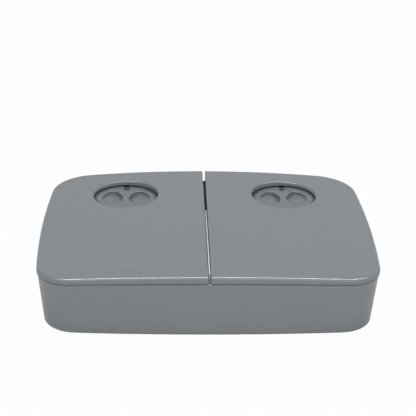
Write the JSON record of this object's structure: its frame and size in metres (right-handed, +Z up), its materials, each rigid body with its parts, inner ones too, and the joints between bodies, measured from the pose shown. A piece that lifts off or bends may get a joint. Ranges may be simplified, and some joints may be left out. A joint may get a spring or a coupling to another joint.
{
  "type": "two meal pet feeder",
  "caption": "Low tapered feeder with a food tray under hinged lids, each lid held shut by a timer dial that draws back its latch bolt.",
  "frame": {"origin": "on the floor, under the middle of the body", "axes": "+Z up, +X to the right and -Y to the front, where the bowls are"},
  "size_m": [0.321, 0.248, 0.0667],
  "materials": {
    "body_plastic": "matt moulded plastic",
    "lid_plastic": "satin moulded plastic",
    "dial_plastic": "satin moulded plastic",
    "tray_plastic": "smooth satin plastic",
    "deck_plastic": "matt moulded plastic",
    "case_plastic": "matt moulded plastic",
    "pointer_plastic": "matt",
    "acetal": "smooth",
    "steel": "bright",
    "spring_steel": "drawn wire",
    "brass": "bright",
    "cell_case": "printed metal sleeve, plain",
    "rubber": "matt"
  },
  "bodies": {
    "base": {"base_shell": "body_plastic", "food_tray": "tray_plastic", "timer_deck": "deck_plastic", "deck_screws": "steel", "timer_screws": "steel", "rubber_feet": "rubber", "hinge_pin_left": "steel", "lid_spring_left": "spring_steel", "latch_spring_left": "spring_steel", "timer_case_left": "case_plastic", "timer_cover_left": "case_plastic", "timer_movement_left": "case_plastic", "aa_cell_left": "cell_case", "contact_plate_left": "brass", "contact_spring_left": "spring_steel", "hinge_pin_right": "steel", "lid_spring_right": "spring_steel", "latch_spring_right": "spring_steel", "timer_case_right": "case_plastic", "timer_cover_right": "case_plastic", "timer_movement_right": "case_plastic", "aa_cell_right": "cell_case", "contact_plate_right": "brass", "contact_spring_right": "spring_steel"},
    "lid_left": {"lid_left": "lid_plastic"},
    "dial_left": {"dial_left": "dial_plastic", "dial_pointer_left": "pointer_plastic", "dial_shaft_left": "acetal", "release_cam_left": "acetal"},
    "bolt_left": {"latch_bolt_left": "acetal"},
    "battery_door_left": {"battery_door_left": "body_plastic"},
    "lid_right": {"lid_right": "lid_plastic"},
    "dial_right": {"dial_right": "dial_plastic", "dial_pointer_right": "pointer_plastic", "dial_shaft_right": "acetal", "release_cam_right": "acetal"},
    "bolt_right": {"latch_bolt_right": "acetal"},
    "battery_door_right": {"battery_door_right": "body_plastic"}
  },
  "joints": [
    {"name": "lid_left_hinge", "type": "hinge", "parent": "base", "child": "lid_left", "pos_m": [-0.036, 0.1198, 0.0587], "axis": [-1, 0, 0], "range_deg": [0, 80]},
    {"name": "dial_left_turn", "type": "hinge", "parent": "base", "child": "dial_left", "pos_m": [-0.081, 0.062, 0.0585], "axis": [0, 0, -1], "range_deg": [0, 330]},
    {"name": "bolt_left_slide", "type": "slide", "parent": "base", "child": "bolt_left", "axis": [1, 0, 0], "range_m": [0, 0.005], "deforming": ["latch_spring_left"]},
    {"name": "battery_door_left_hinge", "type": "hinge", "parent": "base", "child": "battery_door_left", "pos_m": [-0.027, 0.0975, 0.003], "axis": [1, 0, 0], "range_deg": [0, 95]},
    {"name": "lid_right_hinge", "type": "hinge", "parent": "base", "child": "lid_right", "pos_m": [0.036, 0.1198, 0.0587], "axis": [-1, 0, 0], "range_deg": [0, 80]},
    {"name": "dial_right_turn", "type": "hinge", "parent": "base", "child": "dial_right", "pos_m": [0.081, 0.062, 0.0585], "axis": [0, 0, -1], "range_deg": [0, 330]},
    {"name": "bolt_right_slide", "type": "slide", "parent": "base", "child": "bolt_right", "axis": [-1, 0, 0], "range_m": [0, 0.005], "deforming": ["latch_spring_right"]},
    {"name": "battery_door_right_hinge", "type": "hinge", "parent": "base", "child": "battery_door_right", "pos_m": [0.027, 0.0975, 0.003], "axis": [1, 0, 0], "range_deg": [0, 95]}
  ],
  "couplings": [
    {"joint": "bolt_left_slide", "follows": "dial_left_turn", "m_per_rad": 0.00086812},
    {"joint": "bolt_right_slide", "follows": "dial_right_turn", "m_per_rad": 0.00086812}
  ]
}
